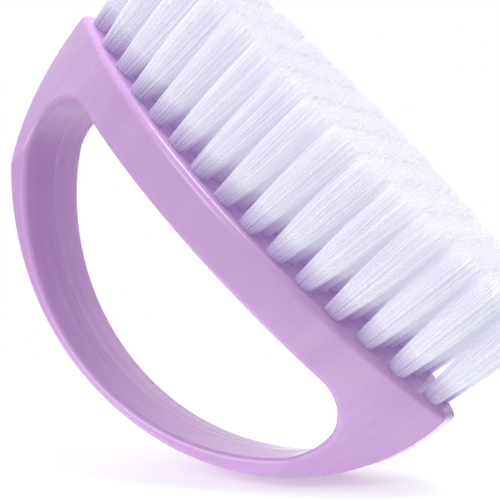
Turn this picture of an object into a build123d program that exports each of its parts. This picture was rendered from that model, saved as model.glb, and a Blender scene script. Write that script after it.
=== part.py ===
from build123d import *
import math
import os

os.makedirs("parts", exist_ok=True)

# Frame: X runs along the brush, Y across it, Z up through the loop handle.
# The trimmed tuft tips lie on z = 0, and the origin is under the middle of the brush.

# Driving dimensions, mm
body_length = 92.0        # tip to tip
face_width = 41.5         # tuft face, its widest
block_lean = 4.0          # degrees, the block's sides lean in from the tuft face
strap_width = 18.0        # strap at the top of the loop
strap_waist = 18.6        # strap where its sides start to flare down to the block
waist_rise = 19.0         # tuft face to that level
flare_width = 24.2        # flared sides where they meet the block
plan_overrun = 3.0        # the boat plan's points lie this far past the tips, so the tips are blunt
bristle_length = 21.3     # tuft face to the trimmed tips
loop_rise = 40.2          # tuft face to the top of the loop
end_radius = 36.0         # side outline, rising from each tip
block_height = 9.1        # tuft face to the sill of the finger loop
strap_crown = 2.2         # strap thickness on the mid plane, top of the loop
strap_root = 10.3         # strap thickness on the mid plane, where it runs into the tips
shoulder_radius = 12.0    # finger loop, above its widest level
sill_radius = 6.0         # finger loop, below its widest level
mould_draft = 3.0         # degrees, the finger loop opens both ways from the mid plane
face_fillet = 1.3
rim_fillet = 0.8
least_rim_y = 1.5         # rim edges lie further than this from the mid plane

# Tuft field, mm
row_count = 15
row_pitch = 6.0
tuft_pitch = 5.9          # spacing aimed at across the brush
tuft_inset = 3.4          # edge of the tuft face to the outer tuft's axis
tuft_diameter = 3.0       # bundle in its drilled hole
hole_depth = 5.2
tip_gap = 0.4             # between neighbouring bundles at the trimmed tips
widest_tip = 6.8
lean_along = 4.0          # degrees, at the end rows, outwards along the brush
lean_across = 1.0         # degrees, at the outer tufts, outwards across it
sway = 5.0                # degrees, the middle rows, towards -X

# Flat metal anchor in each hole, mm
anchor_width = 3.8
anchor_height = 1.7
anchor_thickness = 0.35
anchor_from_bottom = 0.7  # the folded filaments pass between the anchor and the hole's bottom

half_length = body_length / 2
face_z = bristle_length
crown_z = face_z + loop_rise
sill_z = face_z + block_height
plan_half_length = half_length + plan_overrun
plan_radius = (plan_half_length ** 2 + (face_width / 2) ** 2) / face_width
waist_z = face_z + waist_rise


def half_width(x):
    # Boat plan at the tuft face: two equal arcs that meet past the tips.
    return math.sqrt(plan_radius ** 2 - x ** 2) - (plan_radius - face_width / 2)


def boat_plan():
    point = (plan_half_length, 0)
    far_side = ThreePointArc(point, (0, face_width / 2), (-plan_half_length, 0))
    near_side = ThreePointArc((-plan_half_length, 0), (0, -face_width / 2), point)
    return Pos(0, 0, face_z) * make_face([far_side, near_side])


def arch(half_span, rise, end_radius):
    # Three tangent arcs from (half_span, 0) over (0, rise) to (-half_span, 0), upright at both ends.
    crown_radius = (half_span ** 2 - 2 * half_span * end_radius + rise ** 2) / (2 * (rise - end_radius))
    turn = math.degrees(math.atan2(crown_radius - rise, half_span - end_radius))
    first = CenterArc((half_span - end_radius, 0), end_radius, 0, turn)
    crown = CenterArc((0, rise - crown_radius), crown_radius, turn, 180 - 2 * turn)
    last = CenterArc((end_radius - half_span, 0), end_radius, 180 - turn, turn)
    return [first, crown, last]


def side_outline():
    outline = arch(half_length, loop_rise, end_radius)
    base = Line((-half_length, 0), (half_length, 0))
    return Plane.XZ * Pos(0, face_z) * make_face([*outline, base])


def finger_outline():
    half_span = half_length - strap_root
    widest_z = sill_z + sill_radius
    outline = arch(half_span, crown_z - strap_crown - widest_z, shoulder_radius)
    corner = half_span - sill_radius
    left_corner = CenterArc((-corner, 0), sill_radius, 180, 90)
    sill = Line((-corner, -sill_radius), (corner, -sill_radius))
    right_corner = CenterArc((corner, 0), sill_radius, 270, 90)
    return Plane.XZ * Pos(0, widest_z) * make_face([*outline, left_corner, sill, right_corner])


def cross_outline():
    # Seen along the brush: the full block, then sides that flare in to an almost upright strap.
    block = Polyline((flare_width / 2, sill_z), (face_width, sill_z), (face_width, face_z))
    flare = TangentArc(
        (strap_waist / 2, waist_z),
        (flare_width / 2, sill_z),
        tangent=(strap_waist / 2 - strap_width / 2, waist_z - crown_z),
    )
    side = Line((strap_width / 2, crown_z), (strap_waist / 2, waist_z))
    far_half = [side, flare, block]
    near_half = mirror(far_half, about=Plane.YZ)
    top = Line((-strap_width / 2, crown_z), (strap_width / 2, crown_z))
    bottom = Line((-face_width, face_z), (face_width, face_z))
    return Plane.YZ * make_face([top, *far_half, bottom, *near_half])


def make_blank():
    sides = extrude(boat_plan(), loop_rise + 1, dir=(0, 0, 1), taper=block_lean)
    cross = extrude(cross_outline(), body_length, both=True)
    outside = extrude(side_outline(), face_width, both=True)
    near_hole = extrude(finger_outline(), face_width, dir=(0, -1, 0), taper=-mould_draft)
    far_hole = extrude(finger_outline(), face_width, dir=(0, 1, 0), taper=-mould_draft)
    return (sides & outside & cross) - near_hole - far_hole


def rim_edges(blank):
    # Edges that lie wholly on one side of the mid plane, above the tuft face.
    edges = []
    for edge in blank.edges():
        box = edge.bounding_box()
        one_sided = box.min.Y > least_rim_y or box.max.Y < -least_rim_y
        if one_sided and edge.center().Z > face_z:
            edges.append(edge)
    return edges


def make_body(places):
    blank = make_blank()
    face_edges = blank.faces().sort_by(Axis.Z)[0].edges()
    blank = fillet(face_edges, face_fillet)
    blank = fillet(rim_edges(blank), rim_fillet)
    cuts = []
    for x, y in places:
        cuts.append(make_hole(x, y))
        cuts.append(make_anchor(x, y))
    return blank - cuts


def row_places(x):
    # One row of tufts, spread evenly over the width that the boat plan leaves.
    reach = half_width(x) - tuft_inset
    gaps = round(2 * reach / tuft_pitch)
    step = 2 * reach / gaps
    return [-reach + step * index for index in range(gaps + 1)], step


def make_hole(x, y):
    base = (Align.CENTER, Align.CENTER, Align.MIN)
    return Pos(x, y, face_z) * Cylinder(tuft_diameter / 2, hole_depth, align=base)


def make_anchor(x, y):
    z = face_z + hole_depth - anchor_from_bottom - anchor_height / 2
    return Pos(x, y, z) * Box(anchor_width, anchor_thickness, anchor_height)


def make_tuft(x, y, step):
    # The bundle fills its hole, then opens out to an oval at the trimmed tips.
    along = x / half_length
    lean = lean_along * along - sway * (1 - along ** 2)
    tip_x = x + bristle_length * math.tan(math.radians(lean))
    tip_y = y + bristle_length * math.tan(math.radians(lean_across)) * y / (face_width / 2)
    tip_radius_x = (row_pitch - tip_gap) / 2
    tip_radius_y = min(step - tip_gap, widest_tip) / 2
    neck = Pos(x, y, face_z) * Circle(tuft_diameter / 2)
    tip = Pos(tip_x, tip_y, 0) * Ellipse(tip_radius_x, tip_radius_y)
    return make_hole(x, y) + loft([tip, neck]) - make_anchor(x, y)


rows = []
for index in range(row_count):
    x = row_pitch * (index - (row_count - 1) / 2)
    across, step = row_places(x)
    rows.append((x, across, step))

all_places = [(x, y) for x, across, step in rows for y in across]
export_step(make_body(all_places), "parts/body.step")
print("tufts", len(all_places))

for number, (x, across, step) in enumerate(rows, 1):
    tufts = [make_tuft(x, y, step) for y in across]
    anchors = [make_anchor(x, y) for y in across]
    export_step(Compound(tufts), f"parts/tuft_row_{number:02d}.step")
    export_step(Compound(anchors), f"parts/anchor_row_{number:02d}.step")
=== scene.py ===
import bpy
import math
import random
from mathutils import Matrix, Quaternion, Vector


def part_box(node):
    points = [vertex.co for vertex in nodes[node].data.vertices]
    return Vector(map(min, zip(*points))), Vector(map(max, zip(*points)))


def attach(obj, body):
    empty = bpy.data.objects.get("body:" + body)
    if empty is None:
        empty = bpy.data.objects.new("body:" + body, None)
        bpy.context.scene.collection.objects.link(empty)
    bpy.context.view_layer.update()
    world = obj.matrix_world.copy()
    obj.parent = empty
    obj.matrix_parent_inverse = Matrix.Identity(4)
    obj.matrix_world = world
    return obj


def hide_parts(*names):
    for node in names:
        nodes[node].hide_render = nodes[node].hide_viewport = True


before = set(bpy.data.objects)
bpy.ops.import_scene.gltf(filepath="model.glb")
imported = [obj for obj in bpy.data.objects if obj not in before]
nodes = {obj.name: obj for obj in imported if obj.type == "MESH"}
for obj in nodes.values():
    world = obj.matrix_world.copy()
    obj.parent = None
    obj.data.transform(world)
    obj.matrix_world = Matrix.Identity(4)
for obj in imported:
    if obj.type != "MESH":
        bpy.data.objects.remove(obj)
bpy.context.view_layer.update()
mm = 0.001
print("frame loaded,", len(nodes), "nodes")


def clearSelection():
    for thing in list(bpy.context.selected_objects):
        thing.select_set(False)


def makeActive(thing):
    clearSelection()
    thing.select_set(True)
    bpy.context.view_layer.objects.active = thing


def joinPieces(pieces, name):
    # the first one takes in the others and gets the name
    clearSelection()
    for piece in pieces:
        piece.select_set(True)
    bpy.context.view_layer.objects.active = pieces[0]
    bpy.ops.object.join()
    pieces[0].name = name
    pieces[0].data.name = name
    return pieces[0]


def copyPiece(piece, name):
    twin = piece.copy()
    twin.data = piece.data.copy()
    twin.name = name
    bpy.context.collection.objects.link(twin)
    return twin


def newMaterial(name):
    material = bpy.data.materials.new(name)
    material.use_nodes = True
    tree = material.node_tree
    shader = tree.nodes["Principled BSDF"]
    return material, tree, shader


def addNode(tree, kind, **values):
    node = tree.nodes.new(kind)
    for key, value in values.items():
        if hasattr(node, key):
            setattr(node, key, value)
        else:
            node.inputs[key.replace("_", " ")].default_value = value
    return node


def addMath(tree, operation, first, second=None, clamp=False):
    node = tree.nodes.new("ShaderNodeMath")
    node.operation = operation
    node.use_clamp = clamp
    for socket, value in zip(node.inputs, (first, second)):
        if value is None:
            continue
        if isinstance(value, (int, float)):
            socket.default_value = value
        else:
            tree.links.new(value, socket)
    return node.outputs[0]


def addMix(tree, factor, first, second):
    node = tree.nodes.new("ShaderNodeMix")
    node.data_type = "RGBA"
    wanted = ((node.inputs[0], factor), (node.inputs[6], first), (node.inputs[7], second))
    for socket, value in wanted:
        if isinstance(value, (int, float)):
            socket.default_value = value
        elif isinstance(value, tuple):
            socket.default_value = (*value, 1)
        else:
            tree.links.new(value, socket)
    return node.outputs[2]


def addRange(tree, value, low, high, toLow, toHigh):
    node = tree.nodes.new("ShaderNodeMapRange")
    tree.links.new(value, node.inputs["Value"])
    node.inputs["From Min"].default_value = low
    node.inputs["From Max"].default_value = high
    node.inputs["To Min"].default_value = toLow
    node.inputs["To Max"].default_value = toHigh
    return node.outputs[0]


def newGroup(name, inputs, outputs):
    group = bpy.data.node_groups.new(name, "ShaderNodeTree")
    for label, start in inputs:
        socket = group.interface.new_socket(label, in_out="INPUT", socket_type="NodeSocketFloat")
        socket.default_value = start
    for label in outputs:
        group.interface.new_socket(label, in_out="OUTPUT", socket_type="NodeSocketFloat")
    return group, group.nodes.new("NodeGroupInput"), group.nodes.new("NodeGroupOutput")


def useGroup(tree, group, **values):
    node = tree.nodes.new("ShaderNodeGroup")
    node.node_tree = group
    for label, number in values.items():
        node.inputs[label].default_value = number
    return node


def makeGrain():
    # fine surface grain and a slower mottle, in object space
    inputs = [("grainSize", 900.0), ("mottleSize", 60.0)]
    group, given, result = newGroup("surfaceGrain", inputs, ["grain", "mottle"])
    place = addNode(group, "ShaderNodeTexCoord")
    fine = addNode(group, "ShaderNodeTexNoise", Detail=3.0, Roughness=0.6)
    slow = addNode(group, "ShaderNodeTexNoise", Detail=4.0, Roughness=0.55)
    for noise, label in ((fine, "grainSize"), (slow, "mottleSize")):
        group.links.new(place.outputs["Object"], noise.inputs["Vector"])
        group.links.new(given.outputs[label], noise.inputs["Scale"])
    group.links.new(fine.outputs["Fac"], result.inputs["grain"])
    group.links.new(slow.outputs["Fac"], result.inputs["mottle"])
    return group


def makeEdge():
    # 1 along rounded edges and 0 on flat stretches
    group, given, result = newGroup("edgeMask", [("reach", 0.0008), ("strength", 3.0)], ["edge"])
    rounded = addNode(group, "ShaderNodeBevel", samples=6)
    flat = addNode(group, "ShaderNodeNewGeometry")
    compare = addNode(group, "ShaderNodeVectorMath", operation="DOT_PRODUCT")
    group.links.new(given.outputs["reach"], rounded.inputs["Radius"])
    group.links.new(rounded.outputs["Normal"], compare.inputs[0])
    group.links.new(flat.outputs["Normal"], compare.inputs[1])
    gap = addMath(group, "SUBTRACT", 1.0, compare.outputs["Value"])
    edge = addMath(group, "MULTIPLY", gap, given.outputs["strength"], clamp=True)
    group.links.new(edge, result.inputs["edge"])
    return group


def makeDust():
    # scattered specks, few and small
    group, given, result = newGroup("dustSpecks", [("spacing", 420.0), ("share", 0.12)], ["specks"])
    place = addNode(group, "ShaderNodeTexCoord")
    cells = addNode(group, "ShaderNodeTexVoronoi")
    spread = addNode(group, "ShaderNodeTexNoise", Scale=70.0, Detail=2.0)
    group.links.new(place.outputs["Object"], cells.inputs["Vector"])
    group.links.new(place.outputs["Object"], spread.inputs["Vector"])
    group.links.new(given.outputs["spacing"], cells.inputs["Scale"])
    near = addMath(group, "LESS_THAN", cells.outputs["Distance"], given.outputs["share"])
    patch = addRange(group, spread.outputs["Fac"], 0.5, 0.7, 0.0, 1.0)
    specks = addMath(group, "MULTIPLY", near, patch, clamp=True)
    group.links.new(specks, result.inputs["specks"])
    return group


def grainSizes(look):
    return {"grainSize": look["grainSize"], "mottleSize": look["mottleSize"]}


grainGroup = makeGrain()
edgeGroup = makeEdge()
dustGroup = makeDust()
print("shared effects made")


# finish of the moulded body
lilacPlastic = {
    "colour": (0.700, 0.430, 0.770),
    "deepColour": (0.480, 0.240, 0.600),
    "rimHighlightColour": (0.800, 0.560, 0.850),
    "dustColour": (0.86, 0.82, 0.90),
    "roughness": 0.26,
    "refraction": 1.49,
    "glow": 0.15,           # share of light scattered below the surface
    "glowReach": 3.0 * mm,
    "glowTint": (1.0, 0.75, 1.0),
    "grainSize": 1100.0,
    "mottleSize": 38.0,
    "edgeReach": 1.1 * mm,
    "edgeStrength": 5.0,
    "edgeHighlightShare": 0.75,
    "dustSpacing": 260.0,
    "dustShare": 0.035,
    "dustTint": 0.3,
    "dustRoughness": 0.2,
    "streaks": (14.0, 480.0, 14.0),    # pattern scale along X, Y and Z
    "cloudiness": 0.25,
    "streakiness": 0.30,
    "partingLine": 0.22 * mm,
    "partingHighlight": 0.5,
    "ridgeHeight": 0.12 * mm,
    "lineHeight": 0.08 * mm,
    "grainHeight": 0.05 * mm,
    "coat": (0.45, 0.25),
    "coatRoughness": 0.12,
}


def makeLilacPlastic(look):
    material, tree, shader = newMaterial("lilacPlastic")
    grain = useGroup(tree, grainGroup, **grainSizes(look))
    edge = useGroup(tree, edgeGroup, reach=look["edgeReach"], strength=look["edgeStrength"])
    dust = useGroup(tree, dustGroup, spacing=look["dustSpacing"], share=look["dustShare"])
    specks = dust.outputs["specks"]
    place = addNode(tree, "ShaderNodeTexCoord")
    # faint drag lines that follow the strap, from the way the mould opens and closes
    stretch = addNode(tree, "ShaderNodeMapping")
    stretch.inputs["Scale"].default_value = look["streaks"]
    drag = addNode(tree, "ShaderNodeTexNoise", Scale=1.0, Detail=3.0)
    tree.links.new(place.outputs["Object"], stretch.inputs["Vector"])
    tree.links.new(stretch.outputs["Vector"], drag.inputs["Vector"])
    # the two halves of the mould meet on the middle plane
    across = addNode(tree, "ShaderNodeSeparateXYZ")
    tree.links.new(place.outputs["Object"], across.inputs["Vector"])
    fromMiddle = addMath(tree, "ABSOLUTE", across.outputs["Y"])
    parting = addRange(tree, fromMiddle, 0.0, look["partingLine"], 1.0, 0.0)
    cloudy = addRange(tree, grain.outputs["mottle"], 0.35, 0.65, 0.0, look["cloudiness"])
    streaky = addRange(tree, drag.outputs["Fac"], 0.4, 0.7, 0.0, look["streakiness"])
    tint = addMix(tree, cloudy, look["colour"], look["deepColour"])
    tint = addMix(tree, streaky, tint, look["deepColour"])
    # painted highlight: rounded edges and rims are drawn lighter and pinker, as where light catches
    # them
    rimHighlight = addMath(tree, "MULTIPLY", edge.outputs["edge"], look["edgeHighlightShare"])
    tint = addMix(tree, rimHighlight, tint, look["rimHighlightColour"])
    # painted highlight: the parting line is drawn lighter, like light catching its ridge; the ridge
    # itself is the bump below
    seamHighlight = addMath(tree, "MULTIPLY", parting, look["partingHighlight"])
    tint = addMix(tree, seamHighlight, tint, look["rimHighlightColour"])
    dusty = addMath(tree, "MULTIPLY", specks, look["dustTint"])
    tint = addMix(tree, dusty, tint, look["dustColour"])
    tree.links.new(tint, shader.inputs["Base Color"])
    smooth, coarse = look["roughness"] - 0.06, look["roughness"] + 0.08
    rough = addRange(tree, drag.outputs["Fac"], 0.3, 0.7, smooth, coarse)
    rough = addMath(tree, "ADD", rough, addMath(tree, "MULTIPLY", specks, look["dustRoughness"]))
    tree.links.new(rough, shader.inputs["Roughness"])
    ridge = addNode(tree, "ShaderNodeBump", Strength=0.5, Distance=look["ridgeHeight"])
    tree.links.new(parting, ridge.inputs["Height"])
    lines = addNode(tree, "ShaderNodeBump", Strength=0.25, Distance=look["lineHeight"])
    tree.links.new(drag.outputs["Fac"], lines.inputs["Height"])
    tree.links.new(ridge.outputs["Normal"], lines.inputs["Normal"])
    fine = addNode(tree, "ShaderNodeBump", Strength=0.06, Distance=look["grainHeight"])
    tree.links.new(grain.outputs["grain"], fine.inputs["Height"])
    tree.links.new(lines.outputs["Normal"], fine.inputs["Normal"])
    tree.links.new(fine.outputs["Normal"], shader.inputs["Normal"])
    shader.inputs["Subsurface Weight"].default_value = look["glow"]
    shader.inputs["Subsurface Radius"].default_value = look["glowTint"]
    shader.inputs["Subsurface Scale"].default_value = look["glowReach"]
    shader.inputs["IOR"].default_value = look["refraction"]
    shader.inputs["Coat Roughness"].default_value = look["coatRoughness"]
    coat = addRange(tree, grain.outputs["mottle"], 0.3, 0.7, *look["coat"])
    tree.links.new(coat, shader.inputs["Coat Weight"])
    return material


# finish of the filaments
whiteNylon = {
    "colour": (0.950, 0.945, 0.990),
    "coolColour": (0.855, 0.850, 0.975),
    "rootShadeColour": (0.500, 0.350, 0.690),
    "roughness": 0.45,
    "refraction": 1.53,
    "glow": 0.5,
    "glowReach": 1.5 * mm,
    "glowTint": (0.9, 0.9, 1.0),
    "grainSize": 2600.0,
    "mottleSize": 140.0,
    "ownTint": 0.55,        # how far one strand differs from the next
    "mottleTint": 0.3,
    "rootReach": 4.8 * mm,  # how far the painted lilac shade reaches down from the tuft face
    "rootInHole": 0.3 * mm,
    "rootShadeShare": 0.85,
    "grainHeight": 0.03 * mm,
    "scatterGlow": 0.135,       # painted light: the strands glow in their own tint, standing in for light passed on from strand to strand inside a bundle
}


def makeWhiteNylon(look, faceLevel):
    material, tree, shader = newMaterial("whiteNylon")
    grain = useGroup(tree, grainGroup, **grainSizes(look))
    strandInfo = addNode(tree, "ShaderNodeNewGeometry")
    place = addNode(tree, "ShaderNodeTexCoord")
    height = addNode(tree, "ShaderNodeSeparateXYZ")
    tree.links.new(place.outputs["Object"], height.inputs["Vector"])
    own = strandInfo.outputs["Random Per Island"]
    ownShare = addRange(tree, own, 0.0, 1.0, 0.0, look["ownTint"])
    tint = addMix(tree, ownShare, look["colour"], look["coolColour"])
    soft = addRange(tree, grain.outputs["mottle"], 0.35, 0.7, 0.0, look["mottleTint"])
    tint = addMix(tree, soft, tint, look["coolColour"])
    # painted shade and painted lilac bounce light: the bundles turn darker and lilac towards the
    # tuft face, as if lit by the body and shaded by their neighbours
    rootLow, rootHigh = faceLevel - look["rootReach"], faceLevel + look["rootInHole"]
    root = addRange(tree, height.outputs["Z"], rootLow, rootHigh, 0.0, look["rootShadeShare"])
    tint = addMix(tree, root, tint, look["rootShadeColour"])
    tree.links.new(tint, shader.inputs["Base Color"])
    # painted light: the strands glow a little in their own tint, in place of light scattered
    # between them
    tree.links.new(tint, shader.inputs["Emission Color"])
    shader.inputs["Emission Strength"].default_value = look["scatterGlow"]
    smooth, coarse = look["roughness"] - 0.06, look["roughness"] + 0.1
    rough = addRange(tree, own, 0.0, 1.0, smooth, coarse)
    tree.links.new(rough, shader.inputs["Roughness"])
    bump = addNode(tree, "ShaderNodeBump", Strength=0.15, Distance=look["grainHeight"])
    tree.links.new(grain.outputs["grain"], bump.inputs["Height"])
    tree.links.new(bump.outputs["Normal"], shader.inputs["Normal"])
    shader.inputs["Subsurface Weight"].default_value = look["glow"]
    shader.inputs["Subsurface Radius"].default_value = look["glowTint"]
    shader.inputs["Subsurface Scale"].default_value = look["glowReach"]
    shader.inputs["IOR"].default_value = look["refraction"]
    return material


# finish of the anchors
flatWire = {
    "colour": (0.720, 0.560, 0.290),
    "dullColour": (0.450, 0.330, 0.170),
    "edgeColour": (0.86, 0.73, 0.45),
    "roughness": 0.34,
    "grainSize": 3000.0,
    "mottleSize": 500.0,
    "edgeReach": 0.12 * mm,
    "edgeStrength": 4.0,
    "drawLines": (120.0, 9000.0, 9000.0),
    "lineHeight": 0.01 * mm,
}


def makeFlatWire(look):
    material, tree, shader = newMaterial("flatWire")
    grain = useGroup(tree, grainGroup, **grainSizes(look))
    edge = useGroup(tree, edgeGroup, reach=look["edgeReach"], strength=look["edgeStrength"])
    place = addNode(tree, "ShaderNodeTexCoord")
    stretch = addNode(tree, "ShaderNodeMapping")
    stretch.inputs["Scale"].default_value = look["drawLines"]
    drawn = addNode(tree, "ShaderNodeTexNoise", Scale=1.0, Detail=2.0)
    tree.links.new(place.outputs["Object"], stretch.inputs["Vector"])
    tree.links.new(stretch.outputs["Vector"], drawn.inputs["Vector"])
    tarnish = addRange(tree, grain.outputs["mottle"], 0.4, 0.7, 0.0, 0.7)
    tint = addMix(tree, tarnish, look["colour"], look["dullColour"])
    worn = addMath(tree, "MULTIPLY", edge.outputs["edge"], 0.5)
    tint = addMix(tree, worn, tint, look["edgeColour"])
    tree.links.new(tint, shader.inputs["Base Color"])
    smooth, coarse = look["roughness"] - 0.1, look["roughness"] + 0.15
    rough = addRange(tree, drawn.outputs["Fac"], 0.3, 0.7, smooth, coarse)
    tree.links.new(rough, shader.inputs["Roughness"])
    bump = addNode(tree, "ShaderNodeBump", Strength=0.3, Distance=look["lineHeight"])
    tree.links.new(drawn.outputs["Fac"], bump.inputs["Height"])
    tree.links.new(bump.outputs["Normal"], shader.inputs["Normal"])
    shader.inputs["Metallic"].default_value = 1.0
    return material


bodyLow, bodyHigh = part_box("body")
faceLevel = bodyLow.z      # the tuft face

lilac = makeLilacPlastic(lilacPlastic)
nylon = makeWhiteNylon(whiteNylon, faceLevel)
wire = makeFlatWire(flatWire)


def dressNode(name, material):
    mesh = nodes[name].data
    mesh.materials.clear()
    mesh.materials.append(material)


dressNode("body", lilac)
anchorNames = sorted(name for name in nodes if name.startswith("anchor_row"))
for name in anchorNames:
    dressNode(name, wire)
print("finishes made")


# one filament of a tuft
strand = {
    "thickness": 0.17 * mm,
    "steps": 5,
    "crimp": 0.05 * mm,     # sideways wander between steps
    "bows": (0.0, 0.22 * mm, 0.42 * mm),    # belly, from the bundle's middle to its skin
}

# one tuft, before it is fitted to its place
bundle = {
    "strands": 280,
    "variants": 5,
    "holeRadius": 1.38 * mm,
    "tipAlong": 2.95 * mm,  # half sizes of the trimmed oval
    "tipAcross": 2.95 * mm,
    "depthInHole": 3.0 * mm,
    "split": 0.2 * mm,      # half gap left for the anchor
    "corners": 0.16,        # extra reach of the oval's corners
    "shortest": 0.14,       # two random shares that take from and add to the reach at the tips
    "longest": 0.06,
    "turnSpread": 0.25,     # radians
    "bowSpread": 0.5,
    "raggedness": 0.3 * mm, # uneven trim
}


def makeStrand(rng, name, bow):
    # a square rod drawn up in steps, from the trimmed end into the hole
    total = faceLevel + bundle["depthInHole"]
    clearSelection()
    bpy.ops.mesh.primitive_circle_add(vertices=4, radius=strand["thickness"] / 2, fill_type="NGON")
    rod = bpy.context.active_object
    rod.name = name
    bpy.ops.object.mode_set(mode="EDIT")
    bpy.ops.mesh.select_all(action="SELECT")
    lastX, lastY = 0.0, 0.0
    for step in range(1, strand["steps"] + 1):
        share = step / strand["steps"]
        turn = rng.uniform(0, 2 * math.pi)
        nextX = strand["crimp"] * math.cos(turn) + bow * 4 * share * (1 - share)
        nextY = strand["crimp"] * math.sin(turn)
        move = (nextX - lastX, nextY - lastY, total / strand["steps"])
        bpy.ops.mesh.extrude_region_move(TRANSFORM_OT_translate={"value": move})
        lastX, lastY = nextX, nextY
    bpy.ops.mesh.select_all(action="SELECT")
    bpy.ops.mesh.normals_make_consistent(inside=False)
    bpy.ops.object.mode_set(mode="OBJECT")
    return rod


def makeBundle(rng, name):
    # strands spread evenly in the hole, each leaning out to its own place in the oval
    models = [[makeStrand(rng, f"{name}Model", bow) for _ in range(2)] for bow in strand["bows"]]
    count = bundle["strands"]
    total = faceLevel + bundle["depthInHole"]
    golden = math.pi * (3 - math.sqrt(5))
    twins = []
    for index in range(count):
        share = math.sqrt((index + 0.5) / count)
        turn = golden * index + rng.uniform(-bundle["turnSpread"], bundle["turnSpread"])
        side = math.cos(turn) * share
        across = math.sin(turn) * share
        holeX = side * bundle["holeRadius"]
        holeY = across * (bundle["holeRadius"] - bundle["split"])
        holeY += math.copysign(bundle["split"], across)
        # fuller towards the corners, so neighbouring bundles close up at the trimmed plane
        corner = 1 + bundle["corners"] * abs(math.sin(2 * turn))
        reach = 1 - bundle["shortest"] * rng.random() + bundle["longest"] * rng.random()
        tipShare = corner * reach
        tipX = side * bundle["tipAlong"] * tipShare
        tipY = across * bundle["tipAcross"] * tipShare
        trim = rng.random() ** 2 * bundle["raggedness"]
        lean = Matrix.Identity(4)
        lean[0][2] = (holeX - tipX) / faceLevel
        lean[1][2] = (holeY - tipY) / faceLevel
        stand = Matrix.Translation((tipX, tipY, trim))
        squash = Matrix.Diagonal((1, 1, (total - trim) / total, 1))
        bowTurn = turn + rng.uniform(-bundle["bowSpread"], bundle["bowSpread"])
        outward = Matrix.Rotation(bowTurn, 4, "Z")
        model = rng.choice(models[min(2, int(share * 3))])
        twin = copyPiece(model, f"{name}Strand{index}")
        twin.data.transform(stand @ lean @ squash @ outward)
        twins.append(twin)
    for pair in models:
        for model in pair:
            bpy.data.objects.remove(model)
    return joinPieces(twins, name)


rng = random.Random(7)
bundles = [makeBundle(rng, f"bundle{index}") for index in range(bundle["variants"])]
print("bundles made,", len(bundles[0].data.vertices), "points each")


tuftGap = 0.4 * mm     # between neighbouring tufts at the trimmed plane
ovalStep = 5.8 * mm    # tuft spacing that the bundle's oval was made for
endSqueeze = 0.93      # the end rows are a little narrower along the brush
tipLevel = 0.01 * mm   # CAD points below this are on the trimmed plane


def tuftPlaces(row):
    # hole and tip centres of one row, read from its CAD anchors and tufts
    anchors = nodes[f"anchor_row_{row}"].data.vertices
    edges = sorted({round(vertex.co.y, 6) for vertex in anchors})
    holes = [(low + high) / 2 for low, high in zip(edges[::2], edges[1::2])]
    spacing = holes[1] - holes[0]
    anchorLow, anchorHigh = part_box(f"anchor_row_{row}")
    holeX = (anchorLow.x + anchorHigh.x) / 2
    tuftLow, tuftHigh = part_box(f"tuft_row_{row}")
    points = nodes[f"tuft_row_{row}"].data.vertices
    tipXs = [point.co.x for point in points if point.co.z < tipLevel]
    tipX = (min(tipXs) + max(tipXs)) / 2
    widen = (tuftHigh.y - (spacing - tuftGap) / 2) / holes[-1]
    return [(holeX, y, tipX, y * widen) for y in holes], spacing


def plantTuft(model, name, hole, tip, along, across, halfTurn):
    # sizes and shears the bundle so that it runs from its hole to its tip
    twin = copyPiece(model, name)
    lean = Matrix.Identity(4)
    lean[0][2] = (hole[0] - tip[0]) / faceLevel
    lean[1][2] = (hole[1] - tip[1]) / faceLevel
    width = Matrix.Diagonal((along, across, 1, 1))
    turn = Matrix.Rotation(math.pi if halfTurn else 0, 4, "Z")
    twin.data.transform(Matrix.Translation((tip[0], tip[1], 0)) @ lean @ width @ turn)
    return twin


rowNames = sorted(name[-2:] for name in nodes if name.startswith("tuft_row"))
planted = 0
for row in rowNames:
    places, spacing = tuftPlaces(row)
    tufts = []
    for holeX, holeY, tipX, tipY in places:
        model = bundles[rng.randrange(len(bundles))]
        halfTurn = rng.random() < 0.5
        across = spacing / ovalStep
        along = endSqueeze if row in (rowNames[0], rowNames[-1]) else 1.0
        hole, tip = (holeX, holeY), (tipX, tipY)
        tufts.append(plantTuft(model, f"tuft{planted}", hole, tip, along, across, halfTurn))
        planted += 1
    filaments = joinPieces(tufts, f"filament_row_{row}")
    filaments.data.materials.clear()
    filaments.data.materials.append(nylon)
    makeActive(filaments)
    bpy.ops.object.shade_smooth_by_angle(angle=math.radians(60))
    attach(filaments, "root")
    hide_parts(f"tuft_row_{row}")
for model in bundles:
    bpy.data.objects.remove(model)
print("tufts planted,", planted)


# where the camera stands, as seen from the aim point
view = {
    "azimuth": -17.54,
    "elevation": -15.77,
    "turn": -136.27,       # the brush is tipped over onto its loop
    "distance": 0.2744,
    "lens": 120.0,
    "aim": (-0.00295, 0.00137, 0.02862),
}

around, above = math.radians(view["azimuth"]), math.radians(view["elevation"])
level = math.cos(above)
back = Vector((math.sin(around) * level, -math.cos(around) * level, math.sin(above)))
roll = Quaternion((0, 0, 1), math.radians(view["turn"]))
facing = back.to_track_quat("Z", "Y") @ roll
cameraData = bpy.data.cameras.new("camera")
cameraData.lens = view["lens"]
cameraData.clip_start = 0.01
camera = bpy.data.objects.new("camera", cameraData)
camera.location = Vector(view["aim"]) + back * view["distance"]
camera.rotation_mode = "QUATERNION"
camera.rotation_quaternion = facing
bpy.context.collection.objects.link(camera)
bpy.context.scene.camera = camera
pictureUp = facing @ Vector((0, 1, 0))
pictureRight = facing @ Vector((1, 0, 0))
print("camera placed")


floorLook = {
    "size": 0.9,
    "tilt": 5.0,           # degrees, how far the camera looks down on it
    "colour": (0.88, 0.98, 0.87),
    "lift": 0.30,          # light added, so that it stays pale
    "patchColour": (0.93, 0.93, 0.95),
    "unevenness": 0.2,
    "solid": 0.04,         # metres from the point below the brush's middle
    "gone": 0.11,
}


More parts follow.
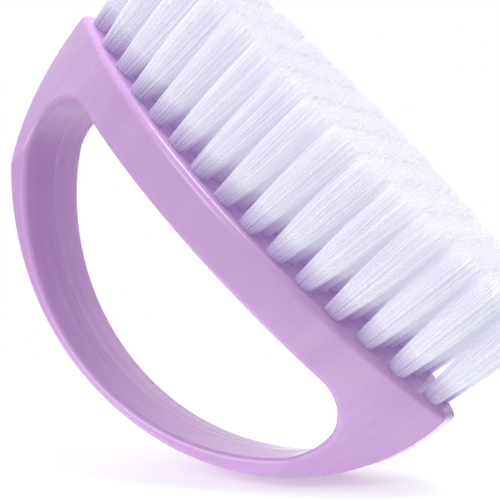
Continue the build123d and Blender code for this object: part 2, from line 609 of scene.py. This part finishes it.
def makeFloor(look):
    # the brush leans on the loop, so the floor lies square to the picture's upright
    tilt = math.radians(look["tilt"])
    normal = pictureUp * math.cos(tilt) + back * math.sin(tilt)
    body = nodes["body"].data
    drop = min(vertex.co.dot(normal) for vertex in body.vertices)
    centre = (bodyLow + bodyHigh) / 2
    clearSelection()
    bpy.ops.mesh.primitive_plane_add(size=look["size"])
    floor = bpy.context.active_object
    floor.name = "floor"
    spot = centre + normal * (drop - centre.dot(normal))
    upright = normal.to_track_quat("Z", "Y").to_matrix().to_4x4()
    floor.data.transform(Matrix.Translation(spot) @ upright)
    material, tree, shader = newMaterial("paleFloor")
    slow = addNode(tree, "ShaderNodeTexNoise", Scale=30.0, Detail=2.0)
    place = addNode(tree, "ShaderNodeTexCoord")
    tree.links.new(place.outputs["Object"], slow.inputs["Vector"])
    uneven = addRange(tree, slow.outputs["Fac"], 0.3, 0.7, 0.0, look["unevenness"])
    tint = addMix(tree, uneven, look["colour"], look["patchColour"])
    tree.links.new(tint, shader.inputs["Base Color"])
    shader.inputs["Roughness"].default_value = 0.8
    shader.inputs["Specular IOR Level"].default_value = 0.2
    shader.inputs["Emission Color"].default_value = (1, 1, 1, 1)
    shader.inputs["Emission Strength"].default_value = look["lift"]
    # it thins out away from the brush, and seen from below it is not there
    side = addNode(tree, "ShaderNodeNewGeometry")
    clear = addNode(tree, "ShaderNodeBsdfTransparent")
    choose = addNode(tree, "ShaderNodeMixShader")
    away = addNode(tree, "ShaderNodeVectorMath", operation="DISTANCE")
    away.inputs[1].default_value = spot
    tree.links.new(place.outputs["Object"], away.inputs[0])
    faded = addRange(tree, away.outputs["Value"], look["solid"], look["gone"], 0.0, 1.0)
    unseen = addMath(tree, "MAXIMUM", side.outputs["Backfacing"], faded)
    tree.links.new(unseen, choose.inputs[0])
    tree.links.new(shader.outputs[0], choose.inputs[1])
    tree.links.new(clear.outputs[0], choose.inputs[2])
    tree.links.new(choose.outputs[0], tree.nodes["Material Output"].inputs["Surface"])
    floor.data.materials.append(material)


makeFloor(floorLook)


lampDistance = 0.55     # metres from the aim point


def addLamp(name, direction, size, power):
    lamp = bpy.data.lights.new(name, "AREA")
    lamp.shape = "DISK"
    lamp.size = size
    lamp.energy = power
    holder = bpy.data.objects.new(name, lamp)
    direction = direction.normalized()
    holder.location = Vector(view["aim"]) + direction * lampDistance
    holder.rotation_mode = "QUATERNION"
    holder.rotation_quaternion = direction.to_track_quat("Z", "Y")
    bpy.context.collection.objects.link(holder)


# direction, then width in metres and power in watts
addLamp("overheadSoftbox", pictureUp + pictureRight * 0.42 + back * 0.15, 0.32, 2.5)
addLamp("frontSoftbox", back + pictureUp * 0.5 - pictureRight * 0.9, 0.30, 0.82)

studio = {
    "colour": (0.96, 0.93, 1.0),
    "below": 0.08,
    "above": 0.68,
    "behind": 0.75,        # extra light from the white wall behind the brush
}


def makeStudio(look):
    # a bright room: light from above, and a white wall behind the brush
    world = bpy.data.worlds.new("studio")
    bpy.context.scene.world = world
    world.use_nodes = True
    tree = world.node_tree
    place = addNode(tree, "ShaderNodeTexCoord")

    def glowFrom(direction, low, high, dim, bright):
        toward = addNode(tree, "ShaderNodeVectorMath", operation="DOT_PRODUCT")
        toward.inputs[1].default_value = direction.normalized()
        tree.links.new(place.outputs["Generated"], toward.inputs[0])
        return addRange(tree, toward.outputs["Value"], low, high, dim, bright)

    fromAbove = pictureUp - pictureRight * 0.75 + back * 0.35
    overhead = glowFrom(fromAbove, -0.6, 0.9, look["below"], look["above"])
    wall = glowFrom(pictureUp * 0.25 - back, 0.35, 0.95, 0.0, look["behind"])
    room = tree.nodes["Background"]
    room.inputs["Color"].default_value = (*look["colour"], 1)
    tree.links.new(addMath(tree, "ADD", overhead, wall), room.inputs["Strength"])
    seen = addNode(tree, "ShaderNodeBackground")
    seen.inputs["Color"].default_value = (1, 1, 1, 1)
    ray = addNode(tree, "ShaderNodeLightPath")
    pick = addNode(tree, "ShaderNodeMixShader")
    tree.links.new(ray.outputs["Is Camera Ray"], pick.inputs[0])
    tree.links.new(room.outputs[0], pick.inputs[1])
    tree.links.new(seen.outputs[0], pick.inputs[2])
    tree.links.new(pick.outputs[0], tree.nodes["World Output"].inputs["Surface"])


makeStudio(studio)
bpy.context.scene.view_settings.view_transform = "Standard"
print("floor and lights placed")
